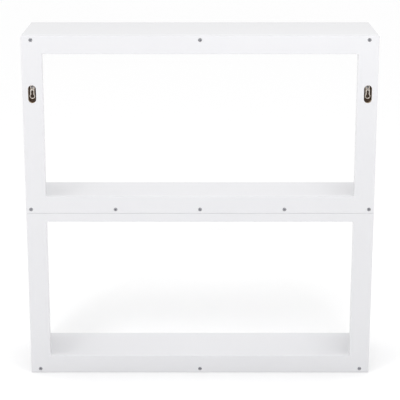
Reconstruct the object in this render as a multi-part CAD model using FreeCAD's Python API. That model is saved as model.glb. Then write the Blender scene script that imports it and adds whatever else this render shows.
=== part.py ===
import FreeCAD, Part
import math
import os

from FreeCAD import Placement, Rotation, Vector

# Two-bay open hutch in lacquered board. X runs across it, Y from its open front to its back, Z up.
# The origin is the middle of its footprint, on the surface that it stands on.
# Left and right are as seen from the open front, which faces -Y. All lengths are in millimetres.

# Overall sizes
hutch_width = 762.0
hutch_depth = 200.0
hutch_height = 766.0

# Boards
board_thickness = 18.0
board_edge_radius = 0.8
lower_bay_height = 356.0

# Back frames: two flat rings that cover the rear edges of the carcass
frame_thickness = 18.0
frame_edge_radius = 1.5
window_corner_radius = 2.0
stile_width = 44.0
top_rail_height = 39.0
shelf_rail_height = 38.0
under_shelf_rail_height = 19.0
bottom_rail_height = 40.0

# Clearances
hole_gap = 0.05            # round a thread, bolt, cam or dowel, on the radius
end_gap = 1.0              # past the tip of a screw, bolt or dowel
recess_gap = 0.1           # round the cap's peg in the cam's recess

# How the cutting is done
overshoot = 1.0            # of a cutter past the face that it opens
closeness = 0.01           # when an edge is found by where it lies
thread_depth_ratio = 0.3   # depth of a screw thread over its pitch

# Countersunk screws that hold the back frames
back_screw_length = 40.0
back_screw_diameter = 4.0
back_screw_head_diameter = 8.0
back_screw_head_land = 0.3
back_screw_sink = 0.4
back_screw_pitch = 1.8
back_screw_tip_length = 5.0
back_screw_thread_start = 1.0      # past the frame, in the board behind it
countersink_gap = 0.2
through_hole_diameter = 4.5
driver_arm_length = 4.6
driver_arm_width = 0.9
driver_depth = 1.9
corner_screw_inset = 21.0
side_screw_inset = 11.0
shelf_screw_offset = 185.0

# Keyhole hangers, each in a round-ended pocket in a stile
hanger_inset = 21.0
hanger_drop = 126.0
pocket_width = 17.0
pocket_length = 39.0
pocket_depth = 10.0
plate_thickness = 1.2
plate_body_height = 5.6
plate_body_width = 10.0
plate_edge_radius = 1.0
keyhole_entry_diameter = 8.0
keyhole_slot_width = 4.2
keyhole_travel = 10.5
keyhole_rim = 2.2
keyhole_entry_drop = 5.0
body_end_wall = 2.0
tab_width = 9.0
tab_screw_height = 14.2
tab_hole_diameter = 3.4
hanger_screw_diameter = 3.0
hanger_screw_pitch = 1.1
hanger_screw_tip_length = 2.5
hanger_screw_head_diameter = 5.8
hanger_screw_head_height = 2.0
hanger_screw_rim_height = 1.0
hanger_screw_dome_diameter = 4.2
hanger_screw_dome_height = 1.8
hanger_screw_arm_length = 3.2
hanger_screw_arm_width = 0.7
hanger_screw_recess_depth = 1.4
hanger_screw_floor = 1.5

# Cam fittings: a bolt in one board's face, and a round cam in the edge of the next
cam_diameter = 15.0
cam_floor = 4.0            # from the bolt's axis to the underside of the cam
cam_reach = 24.0           # from the joint to the cam's centre
cam_bore_gap = 0.5         # under the cam
bolt_skin = 7.0            # board left past the bolt's thread
bolt_thread_diameter = 6.0
bolt_thread_pitch = 1.6
bolt_tip_diameter = 3.6
bolt_tip_length = 1.0
bolt_thread_end = 0.5      # below the collar
bolt_collar_diameter = 7.6
bolt_collar_height = 1.5
bolt_shank_diameter = 6.0
bolt_neck_diameter = 3.4
bolt_neck_length = 6.5
bolt_neck_taper = 1.0
bolt_head_diameter = 5.8
bolt_head_length = 3.0
bolt_head_chamfer = 0.8
bolt_bore_diameter = 8.0
cam_slot_width = 4.0
cam_hollow_diameter = 6.4
cam_hollow_run = 1.5       # free space past the bolt's head
cam_recess_length = 6.0
cam_recess_width = 1.6
cam_recess_depth = 2.5
cap_diameter = 17.0
cap_thickness = 1.2
cap_edge_radius = 0.6
cap_peg_depth = 2.0
bolt_inset = 37.0          # from the front and rear edges of the board to each bolt

# Fluted dowels beside the cam fittings
dowel_diameter = 8.0
dowel_length = 30.0
dowel_chamfer = 1.0
dowel_skin = 6.0           # board left past the dowel's end
dowel_flutes = 12
dowel_flute_radius = 0.5
dowel_inset = 69.0         # from the front and rear edges of the board to each dowel

# Places that follow from the sizes above
half_width = hutch_width / 2
front_y = -hutch_depth / 2
back_y = hutch_depth / 2
carcass_back_y = back_y - frame_thickness
side_inner_x = half_width - board_thickness
side_middle_x = half_width - board_thickness / 2
shelf_bottom_z = board_thickness + lower_bay_height
shelf_top_z = shelf_bottom_z + board_thickness
shelf_middle_z = shelf_bottom_z + board_thickness / 2
top_bottom_z = hutch_height - board_thickness
window_half_width = half_width - stile_width
hanger_x = half_width - hanger_inset
hanger_z = hutch_height - hanger_drop
pocket_floor_y = back_y - pocket_depth
cam_height = board_thickness / 2 + cam_floor
bolt_bite = board_thickness - bolt_skin
dowel_bite = board_thickness - dowel_skin
bolt_rows_y = [front_y + bolt_inset, carcass_back_y - bolt_inset]
dowel_rows_y = [front_y + dowel_inset, carcass_back_y - dowel_inset]
sides = {"left": -1, "right": 1}

right_way = Vector(1, 0, 0)
back_way = Vector(0, 1, 0)
up_way = Vector(0, 0, 1)


# ---- shared shapes -------------------------------------------------------------------------------

def block(low, high):
    return Part.makeBox(high[0] - low[0], high[1] - low[1], high[2] - low[2], Vector(*low))


def eased_board(low, high):
    plain = block(low, high)
    return plain.makeFillet(board_edge_radius, plain.Edges)


def turned(profile):
    # A solid of revolution about Z, from (radius, height) corners
    corners = [Vector(radius, 0, height) for radius, height in profile]
    outline = Part.makePolygon(corners + [corners[0]])
    return Part.Face(outline).revolve(Vector(), up_way, 360)


def bored(radius, low, high):
    return Part.makeCylinder(radius, high - low, Vector(0, 0, low))


def crossed(arm_length, arm_width, low, high):
    # Two bars across each other, for a driver's recess or the peg that fills it
    bar = block((-arm_length / 2, -arm_width / 2, low), (arm_length / 2, arm_width / 2, high))
    other = bar.copy()
    other.rotate(Vector(), up_way, 90)
    return bar.fuse(other)


def round_ended(width, low_z, high_z, low_y, high_y):
    # A stadium standing in the XZ plane: low_z and high_z are the centres of its round ends
    radius = width / 2
    body = block((-radius, low_y, low_z), (radius, high_y, high_z))
    for end_z in (low_z, high_z):
        body = body.fuse(Part.makeCylinder(radius, high_y - low_y, Vector(0, low_y, end_z), back_way))
    return body.removeSplitter()


def standing(origin, along, across):
    # A placement whose own Z runs along the first direction and own X along the second
    return Placement(Vector(*origin), Rotation(across, along.cross(across), along, "ZXY"))


def placed(shape, placement):
    return shape.transformed(placement.toMatrix())


def thread_profile(radius, pitch, start, end):
    # Zigzag of a screw thread's crests and roots from start to end
    root = radius - pitch * thread_depth_ratio
    turns = int((end - start) / pitch)
    steps = []
    for turn in range(turns):
        steps.append((root, start + turn * pitch))
        steps.append((radius, start + (turn + 0.5) * pitch))
    steps.append((root, start + turns * pitch))
    return steps


# ---- fasteners, each along its own Z ---------------------------------------------------------------

def back_screw():
    # Head at the start, tip at the end, running into the board along +Z
    shank = back_screw_diameter / 2
    head = back_screw_head_diameter / 2
    top = back_screw_sink
    land = top + back_screw_head_land
    neck = land + head - shank
    tip = top + back_screw_length
    profile = [(0, top), (head, top), (head, land), (shank, neck), (shank, frame_thickness)]
    thread_start = frame_thickness + back_screw_thread_start
    profile += thread_profile(shank, back_screw_pitch, thread_start, tip - back_screw_tip_length)
    profile += [(0, tip)]
    recess = crossed(driver_arm_length, driver_arm_width, top, top + driver_depth)
    return turned(profile).cut(recess)


def back_screw_hole():
    # Sunk head and clear hole through the frame, then a hole for the thread in the board behind it
    head = back_screw_head_diameter / 2
    clear = through_hole_diameter / 2
    thread = back_screw_diameter / 2 + hole_gap
    land = back_screw_sink + back_screw_head_land
    wide = head + countersink_gap
    bottom = back_screw_sink + back_screw_length + end_gap
    profile = [(0, -overshoot), (wide, -overshoot), (wide, land), (head, land), (clear, land + head - clear)]
    profile += [(clear, frame_thickness), (thread, frame_thickness), (thread, bottom), (0, bottom)]
    return turned(profile)


def cam_bolt():
    # Thread below the joint at zero, head in the cam above it
    thread = bolt_thread_diameter / 2
    collar = bolt_collar_diameter / 2
    shank = bolt_shank_diameter / 2
    neck = bolt_neck_diameter / 2
    head = bolt_head_diameter / 2
    head_end = cam_reach + bolt_head_length / 2
    head_start = head_end - bolt_head_length
    neck_start = head_start - bolt_neck_length
    profile = [(0, -bolt_bite), (bolt_tip_diameter / 2, -bolt_bite)]
    profile += thread_profile(thread, bolt_thread_pitch, bolt_tip_length - bolt_bite, -bolt_thread_end)
    profile += [(thread, 0), (collar, 0), (collar, bolt_collar_height), (shank, bolt_collar_height)]
    profile += [(shank, neck_start - bolt_neck_taper), (neck, neck_start), (neck, head_start)]
    profile += [(head, head_start), (head, head_end - bolt_head_chamfer)]
    profile += [(head - bolt_head_chamfer, head_end), (0, head_end)]
    return turned(profile)


def cam_bolt_face_hole():
    return bored(bolt_thread_diameter / 2 + hole_gap, -bolt_bite - end_gap, overshoot)


def cam_bolt_edge_hole():
    return bored(bolt_bore_diameter / 2, -overshoot, cam_reach)


def cam_bore():
    # Round pocket from the board's face, across the bolt's axis
    start = Vector(-cam_floor - cam_bore_gap, 0, cam_reach)
    depth = cam_height + cam_bore_gap + overshoot
    return Part.makeCylinder(cam_diameter / 2 + hole_gap, depth, start, right_way)


def cam_lock():
    # A drum across the bolt, with a hollow for its head, a slot for its neck and a driver's recess
    drum = Part.makeCylinder(cam_diameter / 2, cam_height, Vector(-cam_floor, 0, cam_reach), right_way)
    hollow_start = cam_reach - bolt_head_length / 2
    hollow_end = hollow_start + bolt_head_length + cam_hollow_run
    hollow = bored(cam_hollow_diameter / 2, hollow_start, hollow_end)
    half_slot = cam_slot_width / 2
    slot_low = (-half_slot, -half_slot, cam_reach - cam_diameter)
    slot = block(slot_low, (half_slot, cam_diameter, hollow_start))
    recess = crossed(cam_recess_length, cam_recess_width, 0, cam_recess_depth)
    facing = standing((board_thickness / 2 - cam_recess_depth, 0, cam_reach), right_way, back_way)
    return drum.cut(hollow).cut(slot).cut(placed(recess, facing))


def cam_cap():
    # A thin disc on the board's face, with a crossed peg that presses into the cam
    disc = Part.makeCylinder(cap_diameter / 2, cap_thickness)
    rim = [edge for edge in disc.Edges if edge.BoundBox.ZMin > cap_thickness - closeness]
    disc = disc.makeFillet(cap_edge_radius, rim)
    peg = crossed(cam_recess_length - 2 * recess_gap, cam_recess_width - 2 * recess_gap, -cap_peg_depth, 0)
    facing = standing((board_thickness / 2, 0, cam_reach), right_way, back_way)
    return placed(disc.fuse(peg), facing)


def dowel():
    # Chamfered at both ends and fluted, across the joint at zero
    radius = dowel_diameter / 2
    low = -dowel_bite
    high = low + dowel_length
    profile = [(0, low), (radius - dowel_chamfer, low), (radius, low + dowel_chamfer)]
    profile += [(radius, high - dowel_chamfer), (radius - dowel_chamfer, high), (0, high)]
    peg = turned(profile)
    flutes = []
    for index in range(dowel_flutes):
        angle = 2 * math.pi * index / dowel_flutes
        centre = Vector(radius * math.cos(angle), radius * math.sin(angle), low - overshoot)
        flutes.append(Part.makeCylinder(dowel_flute_radius, dowel_length + 2 * overshoot, centre))
    return peg.cut(Part.makeCompound(flutes))


def dowel_face_hole():
    return bored(dowel_diameter / 2 + hole_gap, -dowel_bite, overshoot)


def dowel_edge_hole():
    return bored(dowel_diameter / 2 + hole_gap, -overshoot, dowel_length - dowel_bite + end_gap)


def hanger_screw():
    # Pan head outward along +Z from the tab's face at zero, thread the other way
    shank = hanger_screw_diameter / 2
    head = hanger_screw_head_diameter / 2
    tip = -plate_thickness - hanger_screw_bite()
    crown = hanger_screw_head_height
    profile = [(0, tip)]
    profile += thread_profile(shank, hanger_screw_pitch, tip + hanger_screw_tip_length, -plate_thickness)
    profile += [(shank, 0), (head, 0), (head, hanger_screw_rim_height)]
    profile += [(hanger_screw_dome_diameter / 2, hanger_screw_dome_height), (0, crown)]
    recess = crossed(hanger_screw_arm_length, hanger_screw_arm_width, crown - hanger_screw_recess_depth,
                     crown + overshoot)
    return turned(profile).cut(recess)


def hanger_screw_bite():
    return frame_thickness - pocket_depth - hanger_screw_floor


# ---- hanger plate and its pocket, about the pocket's centre ------------------------------------------

def keyhole_outline(inset, low_y, high_y):
    # The plate's raised body: a round about the entry hole, with a narrower arm up over the slot
    round_radius = keyhole_entry_diameter / 2 + keyhole_rim - inset
    arm_width = plate_body_width - 2 * inset
    arm_top = keyhole_slot_top() + body_end_wall + plate_thickness - inset
    centre = Vector(0, low_y, -keyhole_entry_drop)
    entry_round = Part.makeCylinder(round_radius, high_y - low_y, centre, back_way)
    arm = block((-arm_width / 2, low_y, -keyhole_entry_drop), (arm_width / 2, high_y, arm_top))
    return entry_round.fuse(arm).removeSplitter()


def keyhole_slot_top():
    return keyhole_travel - keyhole_entry_drop + keyhole_slot_width / 2


def hanger_plate():
    # Pressed steel: a hollow raised body with the keyhole, and a flat tab on the pocket's floor
    body = keyhole_outline(0, 0, plate_body_height)
    rim = [edge for edge in body.Edges if edge.BoundBox.YMin > plate_body_height - closeness]
    body = body.makeFillet(plate_edge_radius, rim)
    body = body.cut(keyhole_outline(plate_thickness, -overshoot, plate_body_height - plate_thickness))
    tab_start = keyhole_slot_top()
    tab = round_ended(tab_width, tab_start + tab_width / 2, tab_screw_height, 0, plate_thickness)
    body = body.fuse(tab.cut(keyhole_outline(plate_thickness, -overshoot, plate_thickness + overshoot)))
    entry = Vector(0, plate_body_height / 2, -keyhole_entry_drop)
    keyhole = Part.makeCylinder(keyhole_entry_diameter / 2, plate_body_height, entry, back_way)
    slot_end = keyhole_travel - keyhole_entry_drop
    slot = round_ended(keyhole_slot_width, -keyhole_entry_drop, slot_end, plate_body_height / 2,
                       plate_body_height + overshoot)
    hole = Part.makeCylinder(tab_hole_diameter / 2, plate_thickness + 2 * overshoot,
                             Vector(0, -overshoot, tab_screw_height), back_way)
    return body.cut(keyhole).cut(slot).cut(hole).removeSplitter()


def hanger_pocket():
    end = (pocket_length - pocket_width) / 2
    pocket = round_ended(pocket_width, -end, end, 0, pocket_depth + overshoot)
    pilot = Part.makeCylinder(hanger_screw_diameter / 2 + hole_gap, hanger_screw_bite() + overshoot,
                              Vector(0, -hanger_screw_bite(), tab_screw_height), back_way)
    return pocket.fuse(pilot)


def hanger_places():
    return {side: Vector(sign * hanger_x, pocket_floor_y, hanger_z) for side, sign in sides.items()}


# ---- where the fasteners go --------------------------------------------------------------------------

def back_screw_places():
    # For each row: its height, and how far its screws stand from the middle
    corner = half_width - corner_screw_inset
    side = half_width - side_screw_inset
    rows = {
        "top": (hutch_height - board_thickness / 2, [-corner, 0, corner]),
        "middle": (shelf_middle_z, [-side, -shelf_screw_offset, 0, shelf_screw_offset, side]),
        "bottom": (board_thickness / 2, [-corner, 0, corner]),
    }
    places = {}
    for row, (z, distances) in rows.items():
        places[row] = [standing((x, back_y, z), -back_way, right_way) for x in distances]
    return places


def joint_places(joint, rows_y):
    # Every fitting of one joint: along it into the board's edge, across it to the cam's open face
    places = {"left": [], "right": []}
    for side, sign in sides.items():
        for y in rows_y:
            if joint == "top":
                place = standing((sign * side_middle_x, y, top_bottom_z), -up_way, right_way * -sign)
            elif joint == "bottom":
                place = standing((sign * side_middle_x, y, board_thickness), up_way, right_way * -sign)
            else:
                place = standing((sign * side_inner_x, y, shelf_middle_z), right_way * -sign, -up_way)
            places[side].append(place)
    return places


def both_sides(places):
    return places["left"] + places["right"]


def copies(shape, places):
    return [placed(shape, place) for place in places]


def drilled(board, cutters):
    return board.cut(Part.makeCompound(cutters))


# ---- boards ------------------------------------------------------------------------------------------

def face_holes(joint, wanted=both_sides):
    # Holes in the board that a joint's bolts and dowels stand out of
    cutters = copies(cam_bolt_face_hole(), wanted(joint_places(joint, bolt_rows_y)))
    return cutters + copies(dowel_face_hole(), wanted(joint_places(joint, dowel_rows_y)))


def edge_holes(joint, wanted=both_sides):
    # Holes in the board that a joint's bolts and dowels run into, and the cams' bores
    cutters = copies(cam_bolt_edge_hole(), wanted(joint_places(joint, bolt_rows_y)))
    cutters += copies(cam_bore(), wanted(joint_places(joint, bolt_rows_y)))
    return cutters + copies(dowel_edge_hole(), wanted(joint_places(joint, dowel_rows_y)))


def top_panel():
    board = eased_board((-half_width, front_y, top_bottom_z), (half_width, carcass_back_y, hutch_height))
    return drilled(board, face_holes("top") + copies(back_screw_hole(), back_screw_places()["top"]))


def bottom_panel():
    board = eased_board((-half_width, front_y, 0), (half_width, carcass_back_y, board_thickness))
    return drilled(board, face_holes("bottom") + copies(back_screw_hole(), back_screw_places()["bottom"]))


def middle_shelf():
    low = (-side_inner_x, front_y, shelf_bottom_z)
    board = eased_board(low, (side_inner_x, carcass_back_y, shelf_top_z))
    screws = back_screw_places()["middle"][1:-1]
    return drilled(board, edge_holes("shelf") + copies(back_screw_hole(), screws))


def side_panel(side):
    def this_side(places):
        return places[side]

    inner = sides[side] * side_inner_x
    outer = sides[side] * half_width
    low = (min(inner, outer), front_y, board_thickness)
    board = eased_board(low, (max(inner, outer), carcass_back_y, top_bottom_z))
    cutters = edge_holes("top", this_side) + edge_holes("bottom", this_side) + face_holes("shelf", this_side)
    end_screw = {"left": 0, "right": -1}[side]
    cutters += copies(back_screw_hole(), [back_screw_places()["middle"][end_screw]])
    return drilled(board, cutters)


def ring(low_z, high_z, low_rail, high_rail):
    # A flat frame with one window. Its arrises are eased all round, and its window's corners are tight
    outer = block((-half_width, carcass_back_y, low_z), (half_width, back_y, high_z))
    outer = outer.makeFillet(frame_edge_radius, outer.Edges)
    window = block((-window_half_width, carcass_back_y - overshoot, low_z + low_rail),
                   (window_half_width, back_y + overshoot, high_z - high_rail))
    corners = [edge for edge in window.Edges if edge.BoundBox.YLength > frame_thickness]
    window = window.makeFillet(window_corner_radius, corners)
    frame = outer.cut(window)
    # The window's edges are the only flat ones that lie within it
    arrises = []
    for edge in frame.Edges:
        box = edge.BoundBox
        on_a_face = box.YLength < closeness and box.YMax > back_y - closeness
        on_a_face = on_a_face or box.YMax < carcass_back_y + closeness
        across = max(abs(box.XMin), abs(box.XMax)) < window_half_width + closeness
        above = box.ZMin > low_z + low_rail - closeness
        below = box.ZMax < high_z - high_rail + closeness
        if on_a_face and across and above and below:
            arrises.append(edge)
    return frame.makeFillet(frame_edge_radius, arrises)


def upper_back_frame():
    frame = ring(shelf_bottom_z, hutch_height, shelf_rail_height, top_rail_height)
    rows = back_screw_places()
    cutters = copies(back_screw_hole(), rows["top"] + rows["middle"])
    for centre in hanger_places().values():
        cutters.append(hanger_pocket().translated(centre))
    return drilled(frame, cutters)


def lower_back_frame():
    frame = ring(0, shelf_bottom_z, bottom_rail_height, under_shelf_rail_height)
    return drilled(frame, copies(back_screw_hole(), back_screw_places()["bottom"]))


# ---- the whole hutch ---------------------------------------------------------------------------------

def all_nodes():
    nodes = {
        "top_panel": [top_panel()],
        "bottom_panel": [bottom_panel()],
        "middle_shelf": [middle_shelf()],
        "left_side_panel": [side_panel("left")],
        "right_side_panel": [side_panel("right")],
        "upper_back_frame": [upper_back_frame()],
        "lower_back_frame": [lower_back_frame()],
    }
    for row, places in back_screw_places().items():
        nodes[row + "_back_screws"] = copies(back_screw(), places)
    for side, centre in hanger_places().items():
        nodes[side + "_hanger_plate"] = [hanger_plate().translated(centre)]
        seat = centre + Vector(0, plate_thickness, tab_screw_height)
        nodes[side + "_hanger_screw"] = copies(hanger_screw(), [standing(seat, back_way, right_way)])
    for joint in ("top", "bottom", "shelf"):
        bolts = joint_places(joint, bolt_rows_y)
        nodes[joint + "_cam_bolts"] = copies(cam_bolt(), both_sides(bolts))
        nodes[joint + "_cam_locks"] = copies(cam_lock(), both_sides(bolts))
        nodes[joint + "_cam_caps"] = copies(cam_cap(), both_sides(bolts))
        nodes[joint + "_dowels"] = copies(dowel(), both_sides(joint_places(joint, dowel_rows_y)))
    return nodes


os.makedirs("parts", exist_ok=True)
for node, solids in all_nodes().items():
    Part.makeCompound(solids).exportStep("parts/" + node + ".step")
    print(node, len(solids), "solid" if len(solids) == 1 else "solids")
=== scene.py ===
import math
import random

import bmesh
import bpy
from mathutils import Matrix, Vector


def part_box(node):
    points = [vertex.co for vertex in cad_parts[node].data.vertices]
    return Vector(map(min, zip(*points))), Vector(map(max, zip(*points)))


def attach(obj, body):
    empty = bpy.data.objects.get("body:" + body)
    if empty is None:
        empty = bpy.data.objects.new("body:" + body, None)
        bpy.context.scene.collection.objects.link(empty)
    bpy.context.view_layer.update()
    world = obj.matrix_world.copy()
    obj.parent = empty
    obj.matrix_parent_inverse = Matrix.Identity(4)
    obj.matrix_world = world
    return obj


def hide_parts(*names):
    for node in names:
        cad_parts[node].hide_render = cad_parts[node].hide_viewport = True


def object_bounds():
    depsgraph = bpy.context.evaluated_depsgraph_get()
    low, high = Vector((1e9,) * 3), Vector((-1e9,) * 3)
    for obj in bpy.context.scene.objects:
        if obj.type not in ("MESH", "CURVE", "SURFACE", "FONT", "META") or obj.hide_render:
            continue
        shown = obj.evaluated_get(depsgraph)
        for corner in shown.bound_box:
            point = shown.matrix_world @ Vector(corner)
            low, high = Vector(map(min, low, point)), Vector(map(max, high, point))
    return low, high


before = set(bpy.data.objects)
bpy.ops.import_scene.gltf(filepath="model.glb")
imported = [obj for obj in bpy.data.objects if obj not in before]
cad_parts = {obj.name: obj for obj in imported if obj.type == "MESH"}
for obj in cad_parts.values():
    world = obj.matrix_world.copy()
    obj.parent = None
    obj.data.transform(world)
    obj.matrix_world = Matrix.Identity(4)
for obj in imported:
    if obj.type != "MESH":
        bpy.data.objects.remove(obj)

cadLow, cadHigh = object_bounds()
mm = 0.001
backY = cadHigh.y
print("frame loaded, the back face is at", round(backY, 4))

# The camera stands behind the hutch, on the side of the frames and the hangers
camera = {
    "distance": 2.9,            # from the back face
    "height": 1.215,
    "pitch": 14.78,             # degrees down
    "lens": 123.9,
    "shift": -0.05,
}

cameraData = bpy.data.cameras.new("studioCamera")
cameraData.lens = camera["lens"]
cameraData.shift_y = camera["shift"]
cameraData.clip_end = 100
cameraObject = bpy.data.objects.new("studioCamera", cameraData)
cameraObject.location = (0, backY + camera["distance"], camera["height"])
cameraObject.rotation_euler = (math.radians(90 - camera["pitch"]), 0, math.pi)
bpy.context.scene.collection.objects.link(cameraObject)
bpy.context.scene.camera = cameraObject
bpy.context.scene.view_settings.view_transform = "Standard"


# sRGB hex to the linear colour that nodes expect
def linear(hexColour):
    parts = [int(hexColour[i:i + 2], 16) / 255 for i in (0, 2, 4)]
    return (*[p / 12.92 if p <= 0.04045 else ((p + 0.055) / 1.055) ** 2.4 for p in parts], 1)


# Adds one node. Each input is a value, a socket, or a node whose first output is meant.
def addNode(tree, kind, inputs, **settings):
    node = tree.nodes.new(kind)
    for name, value in settings.items():
        setattr(node, name, value)
    for name, value in inputs.items():
        if isinstance(value, bpy.types.Node):
            value = value.outputs[0]
        if isinstance(value, bpy.types.NodeSocket):
            tree.links.new(value, node.inputs[name])
        else:
            node.inputs[name].default_value = value
    return node


def newMaterial(name):
    material = bpy.data.materials.new(name)
    material.use_nodes = True
    material.node_tree.nodes.clear()
    return material, material.node_tree


# Sprayed lacquer of the boards and frames
lacquer = {
    "white": "E0E0E2",
    "whiteShaded": "DDDDE0",
    "mottle": 160 * mm,         # slow change of whiteness over a sprayed board
    "gloss": (0.27, 0.31),
    "glossPatch": 70 * mm,
    "coat": 0.5,
    "coatRoughness": 0.1,
    "peel": 3 * mm,             # orange peel is 1.5 mm across, drawn twice as coarse so that it shows
    "peelDepth": 0.0012 * mm,
    "ior": 1.5,
    "skin": (0.5 * mm, 0.65 * mm),      # film and eased edge, before raw fibre shows inside a hole
}
fibreboard = {
    "light": "C4B19A",
    "dark": "AC987F",
    "paintedFloorShade": "54463B",         # painted shade on the floor of a pocket, dark where the walls keep out the light
    "fibre": 0.9 * mm,
    "fuzz": 0.12 * mm,
    "roughness": 0.95,
    "pocketFloor": 10 * mm,     # from the back face
    "floorFade": (0.2 * mm, 1 * mm),    # above the pocket's floor, where the painted floor shade ends
}


# How deep inside its board a point lies, measured from the nearest face or window edge.
# Only the walls of drilled holes and routed pockets lie deep.
def depthInside(tree, place, node, window):
    low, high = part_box(node)
    parts = addNode(tree, "ShaderNodeSeparateXYZ", {0: place}).outputs
    depth = 1.0
    for axis in range(3):
        fromLow = addNode(tree, "ShaderNodeMath", {0: parts[axis], 1: low[axis]}, operation="SUBTRACT")
        fromHigh = addNode(tree, "ShaderNodeMath", {0: high[axis], 1: parts[axis]}, operation="SUBTRACT")
        nearest = addNode(tree, "ShaderNodeMath", {0: fromLow, 1: fromHigh}, operation="MINIMUM")
        depth = addNode(tree, "ShaderNodeMath", {0: depth, 1: nearest}, operation="MINIMUM")
    if window is None:
        return parts, depth
    across = addNode(tree, "ShaderNodeMath", {0: parts[0]}, operation="ABSOLUTE")
    beside = addNode(tree, "ShaderNodeMath", {0: across, 1: window["halfWidth"]}, operation="SUBTRACT")
    below = addNode(tree, "ShaderNodeMath", {0: window["bottom"], 1: parts[2]}, operation="SUBTRACT")
    above = addNode(tree, "ShaderNodeMath", {0: parts[2], 1: window["top"]}, operation="SUBTRACT")
    upright = addNode(tree, "ShaderNodeMath", {0: below, 1: above}, operation="MAXIMUM")
    outside = addNode(tree, "ShaderNodeMath", {0: upright, 1: beside}, operation="MAXIMUM")
    return parts, addNode(tree, "ShaderNodeMath", {0: depth, 1: outside}, operation="MINIMUM")


# White lacquer sprayed over sanded medium-density fibreboard: an even milky white with a soft clear gloss,
# a faint orange peel and slow mottling. Holes and pockets show brown fibre, with painted shade in dark brown
# on the floor of a pocket.
def sprayedLacquer(node, window=None):
    low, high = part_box(node)
    material, tree = newMaterial("sprayedWhiteLacquer_" + node)
    place = addNode(tree, "ShaderNodeTexCoord", {}).outputs["Object"]
    slide = (low.x * 3, high.z, low.z * 2)      # so that no two boards are patterned alike
    slid = addNode(tree, "ShaderNodeMapping", {"Vector": place, "Location": slide})
    parts, depth = depthInside(tree, place, node, window)
    skinStart, skinEnd = lacquer["skin"]
    raw = addNode(tree, "ShaderNodeMapRange", {"Value": depth, "From Min": skinStart, "From Max": skinEnd})

    mottle = addNode(tree, "ShaderNodeTexNoise", {
        "Vector": slid, "Scale": 1 / lacquer["mottle"], "Detail": 2})
    white = addNode(tree, "ShaderNodeMix", {
        0: mottle, 6: linear(lacquer["white"]), 7: linear(lacquer["whiteShaded"])}, data_type="RGBA")
    fibre = addNode(tree, "ShaderNodeTexNoise", {
        "Vector": slid, "Scale": 1 / fibreboard["fibre"], "Detail": 4, "Roughness": 0.7})
    pale = addNode(tree, "ShaderNodeMix", {
        0: fibre, 6: linear(fibreboard["light"]), 7: linear(fibreboard["dark"])}, data_type="RGBA")
    # Painted shade: the floor of a pocket is coloured dark brown, fading just above it to the plain fibre of
    # the walls
    floorY = high.y - fibreboard["pocketFloor"]
    fadeStart, fadeEnd = fibreboard["floorFade"]
    aboveFloorShade = addNode(tree, "ShaderNodeMapRange", {
        "Value": parts[1], "From Min": floorY + fadeStart, "From Max": floorY + fadeEnd})
    fibreWithFloorShade = addNode(tree, "ShaderNodeMix", {
        0: aboveFloorShade, 6: linear(fibreboard["paintedFloorShade"]), 7: pale.outputs[2]}, data_type="RGBA")
    colour = addNode(tree, "ShaderNodeMix", {
        0: raw, 6: white.outputs[2], 7: fibreWithFloorShade.outputs[2]}, data_type="RGBA")

    patch = addNode(tree, "ShaderNodeTexNoise", {
        "Vector": slid, "Scale": 1 / lacquer["glossPatch"], "Detail": 1})
    glossy, dull = lacquer["gloss"]
    polish = addNode(tree, "ShaderNodeMapRange", {"Value": patch, "To Min": glossy, "To Max": dull})
    roughness = addNode(tree, "ShaderNodeMix", {0: raw, 2: polish, 3: fibreboard["roughness"]},
                        data_type="FLOAT")
    coat = addNode(tree, "ShaderNodeMapRange", {"Value": raw, "To Min": lacquer["coat"], "To Max": 0})

    peel = addNode(tree, "ShaderNodeTexNoise", {"Vector": slid, "Scale": 1 / lacquer["peel"], "Detail": 1})
    peelBump = addNode(tree, "ShaderNodeBump", {"Height": peel, "Distance": lacquer["peelDepth"]})
    fuzz = addNode(tree, "ShaderNodeMath", {0: fibre, 1: raw}, operation="MULTIPLY")
    fuzzBump = addNode(tree, "ShaderNodeBump", {
        "Height": fuzz, "Distance": fibreboard["fuzz"], "Normal": peelBump})
    shader = addNode(tree, "ShaderNodeBsdfPrincipled", {
        "Base Color": colour.outputs[2], "Roughness": roughness, "Normal": fuzzBump, "IOR": lacquer["ior"],
        "Coat Weight": coat, "Coat Roughness": lacquer["coatRoughness"], "Coat IOR": lacquer["ior"]})
    addNode(tree, "ShaderNodeOutputMaterial", {"Surface": shader})
    return material


def dress(node, material):
    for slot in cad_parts[node].material_slots:
        slot.link = "OBJECT"
        slot.material = material


# Wood left round each window, as the frames are cut
frameWood = {
    "upper_back_frame": {"stile": 44 * mm, "below": 38 * mm, "above": 39 * mm},
    "lower_back_frame": {"stile": 44 * mm, "below": 40 * mm, "above": 19 * mm},
}
for board in ("top_panel", "bottom_panel", "middle_shelf", "left_side_panel", "right_side_panel"):
    dress(board, sprayedLacquer(board))
for backFrame, wood in frameWood.items():
    low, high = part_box(backFrame)
    dress(backFrame, sprayedLacquer(backFrame, {
        "halfWidth": high.x - wood["stile"],
        "bottom": low.z + wood["below"],
        "top": high.z - wood["above"],
    }))
print("boards and frames lacquered")

# Metals, plastic and beech
screwFinish = {
    "bright": "B8B9BE",
    "dull": "83848A",
    "patch": 2.5 * mm,
    "grain": 0.6 * mm,
    "roughness": (0.3, 0.48),
    "relief": 0.01 * mm,
}
plateFinish = {
    "bright": "E2DBD3",
    "dull": "C0B8AF",
    "patch": 5 * mm,
    "grain": 0.8 * mm,
    "roughness": (0.16, 0.3),
    "relief": 0.01 * mm,
}
castFinish = {
    "bright": "A8A9AD",
    "dull": "8A8B90",
    "patch": 4 * mm,
    "grain": 0.5 * mm,
    "roughness": (0.42, 0.58),
    "relief": 0.03 * mm,
}
patchSpread = (0.35, 0.65)      # the stretch of the noise that is drawn out to full contrast
grainSpread = (0.3, 0.7)


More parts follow.
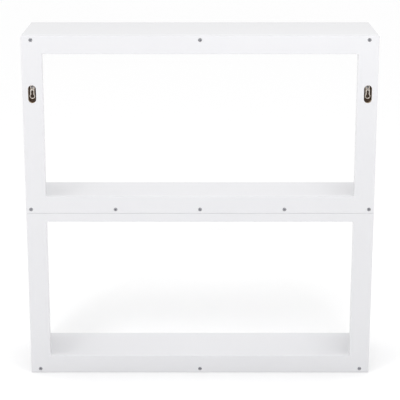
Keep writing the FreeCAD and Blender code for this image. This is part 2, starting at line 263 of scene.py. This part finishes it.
# Metal whose plating or tumbling leaves brighter and duller patches, with a fine grain that breaks the gloss
def workedMetal(name, finish):
    material, tree = newMaterial(name)
    place = addNode(tree, "ShaderNodeTexCoord", {}).outputs["Object"]
    patch = addNode(tree, "ShaderNodeTexNoise", {
        "Vector": place, "Scale": 1 / finish["patch"], "Detail": 3})
    spread = addNode(tree, "ShaderNodeMapRange", {
        "Value": patch, "From Min": patchSpread[0], "From Max": patchSpread[1]})
    colour = addNode(tree, "ShaderNodeMix", {
        0: spread, 6: linear(finish["bright"]), 7: linear(finish["dull"])}, data_type="RGBA")
    grain = addNode(tree, "ShaderNodeTexNoise", {
        "Vector": place, "Scale": 1 / finish["grain"], "Detail": 3})
    smooth, rough = finish["roughness"]
    roughness = addNode(tree, "ShaderNodeMapRange", {
        "Value": grain, "From Min": grainSpread[0], "From Max": grainSpread[1], "To Min": smooth,
        "To Max": rough})
    relief = addNode(tree, "ShaderNodeBump", {"Height": grain, "Distance": finish["relief"]})
    shader = addNode(tree, "ShaderNodeBsdfPrincipled", {
        "Base Color": colour.outputs[2], "Metallic": 1.0, "Roughness": roughness, "Normal": relief})
    addNode(tree, "ShaderNodeOutputMaterial", {"Surface": shader})
    return material


capFinish = {
    "white": "EFEFEC",
    "shade": "E8E8E4",
    "cloud": 8 * mm,
    "spark": 0.7 * mm,
    "roughness": (0.38, 0.54),
    "ior": 1.5,
    "relief": 0.02 * mm,
}


# Polyethylene moulded in a spark-eroded mould: milky white with an even, fine, dull texture
def mouldedPolyethylene():
    material, tree = newMaterial("mouldedWhitePolyethylene")
    place = addNode(tree, "ShaderNodeTexCoord", {}).outputs["Object"]
    cloud = addNode(tree, "ShaderNodeTexNoise", {
        "Vector": place, "Scale": 1 / capFinish["cloud"], "Detail": 2})
    colour = addNode(tree, "ShaderNodeMix", {
        0: cloud, 6: linear(capFinish["white"]), 7: linear(capFinish["shade"])}, data_type="RGBA")
    spark = addNode(tree, "ShaderNodeTexNoise", {
        "Vector": place, "Scale": 1 / capFinish["spark"], "Detail": 2})
    smooth, rough = capFinish["roughness"]
    roughness = addNode(tree, "ShaderNodeMapRange", {"Value": spark, "To Min": smooth, "To Max": rough})
    relief = addNode(tree, "ShaderNodeBump", {"Height": spark, "Distance": capFinish["relief"]})
    shader = addNode(tree, "ShaderNodeBsdfPrincipled", {
        "Base Color": colour.outputs[2], "IOR": capFinish["ior"], "Roughness": roughness, "Normal": relief})
    addNode(tree, "ShaderNodeOutputMaterial", {"Surface": shader})
    return material


beech = {
    "light": "D2AD82",
    "dark": "B48F63",
    "fleck": "8E6A45",
    "grain": 1.4 * mm,
    "stretch": 0.08,
    "fleckStart": (0.62, 0.7),      # only the peaks of the noise become flecks
    "roughness": (0.6, 0.78),
    "relief": 0.06 * mm,
}


# Raw beech, turned and fluted: straight pale grain along the peg, with short dark ray flecks
def rawBeech(name, grainAxis):
    material, tree = newMaterial(name)
    place = addNode(tree, "ShaderNodeTexCoord", {}).outputs["Object"]
    stretch = [beech["stretch"] if axis == grainAxis else 1 for axis in range(3)]
    along = addNode(tree, "ShaderNodeMapping", {"Vector": place, "Scale": stretch})
    grain = addNode(tree, "ShaderNodeTexNoise", {"Vector": along, "Scale": 1 / beech["grain"], "Detail": 4})
    spread = addNode(tree, "ShaderNodeMapRange", {
        "Value": grain, "From Min": grainSpread[0], "From Max": grainSpread[1]})
    wood = addNode(tree, "ShaderNodeMix", {
        0: spread, 6: linear(beech["light"]), 7: linear(beech["dark"])}, data_type="RGBA")
    rays = addNode(tree, "ShaderNodeTexNoise", {"Vector": along, "Scale": 3 / beech["grain"], "Detail": 1})
    flecks = addNode(tree, "ShaderNodeMapRange", {
        "Value": rays, "From Min": beech["fleckStart"][0], "From Max": beech["fleckStart"][1]})
    colour = addNode(tree, "ShaderNodeMix", {
        0: flecks, 6: wood.outputs[2], 7: linear(beech["fleck"])}, data_type="RGBA")
    smooth, rough = beech["roughness"]
    roughness = addNode(tree, "ShaderNodeMapRange", {"Value": grain, "To Min": smooth, "To Max": rough})
    relief = addNode(tree, "ShaderNodeBump", {"Height": grain, "Distance": beech["relief"]})
    shader = addNode(tree, "ShaderNodeBsdfPrincipled", {
        "Base Color": colour.outputs[2], "Roughness": roughness, "Normal": relief})
    addNode(tree, "ShaderNodeOutputMaterial", {"Surface": shader})
    return material


screwSteel = workedMetal("zincPlatedColdHeadedSteel", screwFinish)
plateSteel = workedMetal("nickelPlatedPressedSteel", plateFinish)
castZinc = workedMetal("tumbledDieCastZinc", castFinish)
capPlastic = mouldedPolyethylene()
grainAxes = {"top": 2, "bottom": 2, "shelf": 0}     # the way the dowels of each joint lie
for joint, grainAxis in grainAxes.items():
    dress(joint + "_cam_bolts", screwSteel)
    dress(joint + "_cam_locks", castZinc)
    dress(joint + "_dowels", rawBeech("flutedRawBeech_" + joint, grainAxis))
print("fittings and dowels finished")

# Used by every piece below
overshoot = 1 * mm              # how far a cutter stands past what it cuts
closeness = 0.01 * mm
roundSides = 48
stepsPerTurn = 16               # of a thread
flatAngle = math.radians(1)
edgeAngle = math.radians(60)
creaseAngle = math.radians(35)


def spinRound(mesh, profile, steps):
    # Turns (radius, height) points round Z into a closed solid
    points = [mesh.verts.new((radius, 0, height)) for radius, height in profile]
    edges = [mesh.edges.new(pair) for pair in zip(points, points[1:])]
    bmesh.ops.spin(mesh, geom=points + edges, cent=(0, 0, 0), axis=(0, 0, 1), dvec=(0, 0, 0),
                   angle=2 * math.pi, steps=steps, use_merge=True, use_duplicate=False)
    bmesh.ops.remove_doubles(mesh, verts=mesh.verts, dist=0.1 * closeness)
    bmesh.ops.recalc_face_normals(mesh, faces=mesh.faces)


def addBlock(mesh, low, high):
    made = bmesh.ops.create_cube(mesh, size=1)["verts"]
    bmesh.ops.scale(mesh, vec=Vector(high) - Vector(low), verts=made)
    bmesh.ops.translate(mesh, vec=(Vector(high) + Vector(low)) / 2, verts=made)
    return made


def addRound(mesh, radius, centreY, low, high):
    made = bmesh.ops.create_cone(mesh, cap_ends=True, segments=roundSides, radius1=radius, radius2=radius,
                                 depth=high - low)["verts"]
    bmesh.ops.translate(mesh, vec=(0, centreY, (low + high) / 2), verts=made)
    return made


def asObject(name, mesh):
    data = bpy.data.meshes.new(name)
    mesh.to_mesh(data)
    mesh.free()
    made = bpy.data.objects.new(name, data)
    bpy.context.scene.collection.objects.link(made)
    return made


def joinOrCut(body, tool, operation):
    # Applied at once, so the body is left a plain mesh and the tool is gone
    modifier = body.modifiers.new("shape", "BOOLEAN")
    modifier.operation = operation
    modifier.object = tool
    modifier.solver = "EXACT"
    shaped = bpy.data.meshes.new_from_object(body.evaluated_get(bpy.context.evaluated_depsgraph_get()))
    body.modifiers.clear()
    body.data = shaped
    bpy.data.objects.remove(tool)


def crossRecess(body, size, low, high):
    # Sinks two crossed bars into a screw head, smaller at their lower end
    for turn in (0, math.pi / 2):
        bar = bmesh.new()
        half = Vector((size["armLength"], size["armWidth"])) / 2
        made = addBlock(bar, (-half.x, -half.y, low), (half.x, half.y, high))
        deep = [corner for corner in made if corner.co.z < (low + high) / 2]
        bmesh.ops.scale(bar, vec=(size["recessTaper"], size["recessTaper"], 1), verts=deep)
        bmesh.ops.rotate(bar, cent=(0, 0, 0), matrix=Matrix.Rotation(turn, 3, "Z"), verts=made)
        joinOrCut(body, asObject("recessBar", bar), "DIFFERENCE")


def windThread(mesh, size, bottom, top):
    # A three-sided ridge wound round the core, then closed at both ends
    half = size["pitch"] * size["threadWidth"] / 2
    buried = size["rootRadius"] * size["threadSink"]
    ridge = [(buried, bottom - half), (size["threadRadius"], bottom), (buried, bottom + half)]
    points = [mesh.verts.new((radius, 0, height)) for radius, height in ridge]
    edges = [mesh.edges.new((points[i], points[(i + 1) % 3])) for i in range(3)]
    steps = round((top - bottom) / size["pitch"] * stepsPerTurn)
    bmesh.ops.spin(mesh, geom=points + edges, cent=(0, 0, 0), axis=(0, 0, 1),
                   dvec=(0, 0, size["pitch"] / stepsPerTurn), angle=2 * math.pi * steps / stepsPerTurn,
                   steps=steps, use_merge=False, use_duplicate=False)
    bmesh.ops.holes_fill(mesh, edges=[edge for edge in mesh.edges if edge.is_boundary], sides=3)
    bmesh.ops.recalc_face_normals(mesh, faces=mesh.faces)


def withThread(body, size, bottom, top):
    thread = bmesh.new()
    windThread(thread, size, bottom, top)
    thread.from_mesh(body.data)
    bpy.data.objects.remove(body)
    data = bpy.data.meshes.new("threaded")
    thread.to_mesh(data)
    thread.free()
    return data


def placeCopies(name, data, placements, material, node):
    # One piece from a finished mesh at each placement, standing in for its CAD node
    piece = bmesh.new()
    for placement in placements:
        before = len(piece.verts)
        piece.from_mesh(data)
        piece.verts.ensure_lookup_table()
        bmesh.ops.transform(piece, matrix=placement, verts=piece.verts[before:])
    made = asObject(name, piece)
    made.data.shade_smooth()
    made.data.set_sharp_from_angle(angle=creaseAngle)
    made.data.materials.clear()
    made.data.materials.append(material)
    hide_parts(node)
    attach(made, "root")


# Countersunk screws in the back frames, drawn with the crown at zero height and the tip below
backScrew = {
    "headRadius": 4 * mm,
    "land": 0.3 * mm,
    "rimRound": 0.15 * mm,
    "dip": 0.12 * mm,
    "neckRadius": 1.95 * mm,
    "threadRadius": 2 * mm,
    "rootRadius": 1.45 * mm,
    "length": 40 * mm,
    "smoothLength": 18 * mm,
    "shoulder": 0.5 * mm,
    "threadGap": 1 * mm,        # from the smooth part to the first turn
    "tipLength": 5 * mm,
    "pitch": 1.8 * mm,
    "threadWidth": 0.55,        # of the pitch
    "threadSink": 0.9,          # of the root radius
    "armLength": 4.8 * mm,
    "armWidth": 1.05 * mm,
    "recess": 2.3 * mm,
    "recessTaper": 0.5,
    "facets": 40,
    "shelfOffset": 185 * mm,
    "seed": 7,
}


def backScrewMesh(size):
    head, land, neck, root = size["headRadius"], size["land"], size["neckRadius"], size["rootRadius"]
    under = -land - (head - neck)
    smooth = -size["smoothLength"]
    bottom = size["tipLength"] - size["length"]
    profile = [(0, -size["dip"]), (head * 0.6, -size["dip"] * 0.7), (head * 0.92, 0),
               (head, -size["rimRound"]), (head, -land), (neck, under), (neck, smooth),
               (root, smooth - size["shoulder"]), (root, bottom), (0, -size["length"])]
    blank = bmesh.new()
    spinRound(blank, profile, size["facets"])
    screw = asObject("screwBlank", blank)
    crossRecess(screw, size, -size["recess"], overshoot)
    return withThread(screw, size, bottom, smooth - size["threadGap"])


screwDraw = random.Random(backScrew["seed"])
screwMesh = backScrewMesh(backScrew)
innerScrews = {
    "top": [0],
    "middle": [-backScrew["shelfOffset"], 0, backScrew["shelfOffset"]],
    "bottom": [0],
}
for row, inner in innerScrews.items():
    low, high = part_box(row + "_back_screws")
    end = high.x - backScrew["headRadius"]
    placements = []
    for x in (-end, *inner, end):
        seat = Matrix.Translation((x, high.y, (low.z + high.z) / 2)) @ Matrix.Rotation(-math.pi / 2, 4, "X")
        placements.append(seat @ Matrix.Rotation(screwDraw.uniform(0, math.pi / 2), 4, "Z"))
    placeCopies(row + "BackScrews", screwMesh, placements, screwSteel,
                row + "_back_screws")
print("back screws made")

# Pan-head screws that hold the hanger plates, with the seat at zero height
panScrew = {
    "headRadius": 2.9 * mm,
    "headHeight": 2 * mm,
    "easedRim": 0.1 * mm,
    "threadRadius": 1.5 * mm,
    "rootRadius": 1.1 * mm,
    "tipLength": 2.5 * mm,
    "threadGap": 1.5 * mm,      # from the seat to the first turn
    "pitch": 1.1 * mm,
    "threadWidth": 0.55,
    "threadSink": 0.9,
    "armLength": 3.2 * mm,
    "armWidth": 0.8 * mm,
    "recess": 1.3 * mm,
    "recessTaper": 0.6,
    "facets": 36,
    "turns": {"left": 0.4, "right": 1.1},       # radians, how far each was driven round
}


def panScrewMesh(size, length):
    head, crown, root, rim = size["headRadius"], size["headHeight"], size["rootRadius"], size["easedRim"]
    bottom = size["tipLength"] - length
    profile = [(0, crown), (head * 0.45, crown * 0.98), (head * 0.72, crown * 0.9),
               (head * 0.9, crown * 0.72), (head, crown * 0.45), (head, rim), (head - rim, 0), (root, 0),
               (root, bottom), (0, -length)]
    blank = bmesh.new()
    spinRound(blank, profile, size["facets"])
    screw = asObject("panBlank", blank)
    crossRecess(screw, size, crown - size["recess"], crown + overshoot)
    return withThread(screw, size, bottom, -size["threadGap"])


for side, turn in panScrew["turns"].items():
    low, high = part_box(side + "_hanger_screw")
    seatY = high.y - panScrew["headHeight"]
    seat = Matrix.Translation(((low.x + high.x) / 2, seatY, (low.z + high.z) / 2))
    placement = seat @ Matrix.Rotation(-math.pi / 2, 4, "X") @ Matrix.Rotation(turn, 4, "Z")
    placeCopies(side + "HangerScrew", panScrewMesh(panScrew, seatY - low.y), [placement], screwSteel,
                side + "_hanger_screw")
print("hanger screws made")

# Pressed keyhole hanger plates, drawn lying on the pocket's floor with the slot running up Y
hangerPlate = {
    "thickness": 1.2 * mm,
    "height": 5.6 * mm,
    "roundRadius": 6.2 * mm,
    "armWidth": 10 * mm,
    "armTop": 9.95 * mm,
    "entryRadius": 4 * mm,
    "entryDrop": 5 * mm,
    "slotWidth": 4.2 * mm,
    "slotEnd": 5.5 * mm,
    "outerEdge": 1 * mm,
    "coinedEdge": 1 * mm,       # rolled rim round the keyhole
    "edgeSteps": 4,
    "tabOverlap": 0.6 * mm,     # of the tab into the raised body
    "tabWidth": 9 * mm,
    "screwHeight": 14.2 * mm,
    "screwHoleRadius": 1.7 * mm,
}


def keyholeBody(inset, low, high):
    body = bmesh.new()
    addRound(body, hangerPlate["roundRadius"] - inset, -hangerPlate["entryDrop"], low, high)
    made = asObject("plateRound", body)
    half = hangerPlate["armWidth"] / 2 - inset
    arm = bmesh.new()
    addBlock(arm, (-half, -hangerPlate["entryDrop"], low), (half, hangerPlate["armTop"] - inset, high))
    joinOrCut(made, asObject("plateArm", arm), "UNION")
    return made


def bevelWhere(body, test, offset):
    # Rounds the edges whose two ends both pass the test
    mesh = bmesh.new()
    mesh.from_mesh(body.data)
    bmesh.ops.dissolve_limit(mesh, angle_limit=flatAngle, verts=mesh.verts, edges=mesh.edges)
    edges = [edge for edge in mesh.edges if all(test(corner.co) for corner in edge.verts)
             and edge.calc_face_angle(0) > edgeAngle]
    bmesh.ops.bevel(mesh, geom=edges, offset=offset, offset_type="OFFSET", segments=hangerPlate["edgeSteps"],
                    profile=0.5, affect="EDGES", material=-1, clamp_overlap=True)
    mesh.to_mesh(body.data)
    mesh.free()


def hangerPlateMesh(size):
    top = size["height"]
    plate = keyholeBody(0, 0, top)
    bevelWhere(plate, lambda spot: spot.z > top - closeness, size["outerEdge"])
    joinOrCut(plate, keyholeBody(size["thickness"], -overshoot, top - size["thickness"]), "DIFFERENCE")
    drop, slotEnd, halfSlot = size["entryDrop"], size["slotEnd"], size["slotWidth"] / 2
    cutters = []
    for radius, centreY in ((size["entryRadius"], -drop), (halfSlot, slotEnd)):
        cutter = bmesh.new()
        addRound(cutter, radius, centreY, top / 2, top + overshoot)
        cutters.append(cutter)
    slot = bmesh.new()
    addBlock(slot, (-halfSlot, -drop, top / 2), (halfSlot, slotEnd, top + overshoot))
    cutters.append(slot)
    for cutter in cutters:
        joinOrCut(plate, asObject("keyholeCutter", cutter), "DIFFERENCE")

    def onKeyhole(spot):
        near = 2 * closeness
        onEntry = math.hypot(spot.x, spot.y + drop) < size["entryRadius"] + near
        onSlot = abs(spot.x) < halfSlot + near and -drop < spot.y < slotEnd + halfSlot + near
        return spot.z > top - closeness and (onEntry or onSlot)

    bevelWhere(plate, onKeyhole, size["coinedEdge"])
    halfTab = size["tabWidth"] / 2
    tab = bmesh.new()
    addBlock(tab, (-halfTab, size["armTop"] - size["tabOverlap"], 0),
             (halfTab, size["screwHeight"], size["thickness"]))
    tabObject = asObject("plateTab", tab)
    tabEnd = bmesh.new()
    addRound(tabEnd, halfTab, size["screwHeight"], 0, size["thickness"])
    joinOrCut(tabObject, asObject("tabEnd", tabEnd), "UNION")
    hole = bmesh.new()
    addRound(hole, size["screwHoleRadius"], size["screwHeight"], -overshoot, size["thickness"] + overshoot)
    joinOrCut(tabObject, asObject("tabHole", hole), "DIFFERENCE")
    joinOrCut(plate, tabObject, "UNION")
    data = plate.data
    bpy.data.objects.remove(plate)
    return data


# The plate's own right, up and out become left, up and back of the hutch
facingBack = Matrix(((-1, 0, 0, 0), (0, 0, 1, 0), (0, 1, 0, 0), (0, 0, 0, 1)))
plateMesh = hangerPlateMesh(hangerPlate)
for side in ("left", "right"):
    low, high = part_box(side + "_hanger_plate")
    centreZ = low.z + hangerPlate["roundRadius"] + hangerPlate["entryDrop"]
    placement = Matrix.Translation(((low.x + high.x) / 2, low.y, centreZ)) @ facingBack
    placeCopies(side + "HangerPlate", plateMesh, [placement], plateSteel,
                side + "_hanger_plate")
print("hanger plates made")

# Cover caps over the cams, with the seat at zero height
cap = {
    "radius": 8.5 * mm,
    "thickness": 1.2 * mm,
    "pegLength": 5.8 * mm,
    "pegWidth": 1.4 * mm,
    "pegDepth": 2 * mm,
    "pegOverlap": 0.1 * mm,     # of the peg into the dome
    "facets": 48,
}


def capMesh(size):
    # A low dome with a soft edge, and the crossed peg under it
    radius, crown = size["radius"], size["thickness"]
    profile = [(0, crown), (radius * 0.5, crown * 0.98), (radius * 0.82, crown * 0.9),
               (radius * 0.94, crown * 0.7), (radius, crown * 0.3), (radius, 0), (0, 0)]
    dome = bmesh.new()
    spinRound(dome, profile, size["facets"])
    half, width = size["pegLength"] / 2, size["pegWidth"] / 2
    addBlock(dome, (-half, -width, -size["pegDepth"]), (half, width, size["pegOverlap"]))
    addBlock(dome, (-width, -half, -size["pegDepth"]), (width, half, size["pegOverlap"]))
    data = bpy.data.meshes.new("capMesh")
    dome.to_mesh(data)
    dome.free()
    return data


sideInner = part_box("right_side_panel")[0].x
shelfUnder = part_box("middle_shelf")[0].z
roundCap = capMesh(cap)
for joint in ("top", "bottom", "shelf"):
    low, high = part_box(joint + "_cam_caps")
    placements = []
    for y in (low.y + cap["radius"], high.y - cap["radius"]):
        for side in (-1, 1):
            if joint == "shelf":
                seat = Matrix.Translation((side * (high.x - cap["radius"]), y, shelfUnder))
                placements.append(seat @ Matrix.Rotation(math.pi, 4, "X"))
            else:
                seat = Matrix.Translation((side * sideInner, y, (low.z + high.z) / 2))
                placements.append(seat @ Matrix.Rotation(-side * math.pi / 2, 4, "Y"))
    placeCopies(joint + "CamCaps", roundCap, placements, capPlastic, joint + "_cam_caps")
print("cover caps made")

# Floor, light and surroundings
studio = {
    "floorColour": "FCFCFC",
    "floorRoughness": 0.9,
    "floorShine": 0.1,
    "floorHalf": 40,
    "floorGap": 0.2 * mm,
    "horizon": 0.978,           # the level of the far floor, so that no line shows where it ends
    "horizonFade": (0.1, 0.13),     # these fades run by the sine of the elevation
    "openLow": 0.7,             # the open side, seen in the top panel
    "openHigh": 1.12,           # the open side, seen in the shelf and the bottom
    "openFade": (0.16, 0.27),
    "backSide": 0.6,
    "sideFade": (-0.5, 0.3),    # from the open side to the back, along Y
    "overhead": 1.16,
    "overheadFade": (0.45, 0.85),
    # Softboxes behind the hutch: degrees round from straight behind, degrees up, distance, watts, mirrored.
    # The nearer one isn't mirrored, because it would blot out the top panel seen from the open side.
    "keys": [(34, 36, 1.7, 4.5, True), (-33, 43, 1.25, 2.2, False)],
    "keySize": 0.34,
    "fillPlace": (0.2, -1.5, 2.0),
    "fillSize": 1.4,
    "fillPower": 0.5,
}

floorMesh = bmesh.new()
bmesh.ops.create_grid(floorMesh, x_segments=1, y_segments=1, size=studio["floorHalf"])
bmesh.ops.translate(floorMesh, vec=(0, 0, cadLow.z - studio["floorGap"]), verts=floorMesh.verts)
floor = asObject("studioFloor", floorMesh)
floorMaterial, floorTree = newMaterial("paintedStudioFloor")
floorShader = addNode(floorTree, "ShaderNodeBsdfPrincipled", {
    "Base Color": linear(studio["floorColour"]), "Roughness": studio["floorRoughness"],
    "Specular IOR Level": studio["floorShine"]})
addNode(floorTree, "ShaderNodeOutputMaterial", {"Surface": floorShader})
floor.data.materials.append(floorMaterial)

world = bpy.data.worlds.new("softStudio")
world.use_nodes = True
worldTree = world.node_tree
worldTree.nodes.clear()
skyWay = addNode(worldTree, "ShaderNodeTexCoord", {}).outputs["Generated"]
skyParts = addNode(worldTree, "ShaderNodeSeparateXYZ", {0: skyWay}).outputs
openLevel = addNode(worldTree, "ShaderNodeMapRange", {
    "Value": skyParts[2], "From Min": studio["openFade"][0], "From Max": studio["openFade"][1],
    "To Min": studio["openLow"], "To Max": studio["openHigh"]})
wallLevel = addNode(worldTree, "ShaderNodeMapRange", {
    "Value": skyParts[1], "From Min": studio["sideFade"][0], "From Max": studio["sideFade"][1],
    "To Min": openLevel, "To Max": studio["backSide"]})
nearHorizon = addNode(worldTree, "ShaderNodeMapRange", {
    "Value": skyParts[2], "From Min": studio["horizonFade"][0], "From Max": studio["horizonFade"][1],
    "To Min": 1, "To Max": 0})
lowLevel = addNode(worldTree, "ShaderNodeMix", {0: nearHorizon, 2: wallLevel, 3: studio["horizon"]},
                   data_type="FLOAT")
rise = addNode(worldTree, "ShaderNodeMapRange", {
    "Value": skyParts[2], "From Min": studio["overheadFade"][0], "From Max": studio["overheadFade"][1]})
skyLevel = addNode(worldTree, "ShaderNodeMix", {0: rise, 2: lowLevel, 3: studio["overhead"]},
                   data_type="FLOAT")
sky = addNode(worldTree, "ShaderNodeBackground", {"Color": (1, 1, 1, 1), "Strength": skyLevel})
addNode(worldTree, "ShaderNodeOutputWorld", {"Surface": sky})
bpy.context.scene.world = world

middle = (cadLow + cadHigh) / 2


def hangLamp(name, size, power, place, mirrored):
    lamp = bpy.data.lights.new(name, "AREA")
    lamp.size = size
    lamp.energy = power
    hung = bpy.data.objects.new(name, lamp)
    hung.location = place
    hung.rotation_euler = (place - middle).to_track_quat("Z", "Y").to_euler()
    hung.visible_glossy = mirrored
    bpy.context.scene.collection.objects.link(hung)


for turn, height, distance, power, mirrored in studio["keys"]:
    turn, height = math.radians(turn), math.radians(height)
    way = Vector((math.sin(turn) * math.cos(height), math.cos(turn) * math.cos(height), math.sin(height)))
    hangLamp("softbox", studio["keySize"], power, middle + way * distance, mirrored)

# A wide lamp on the open side reaches the shelves under the boards
hangLamp("frontFill", studio["fillSize"], studio["fillPower"], Vector(studio["fillPlace"]), True)
print("studio made")
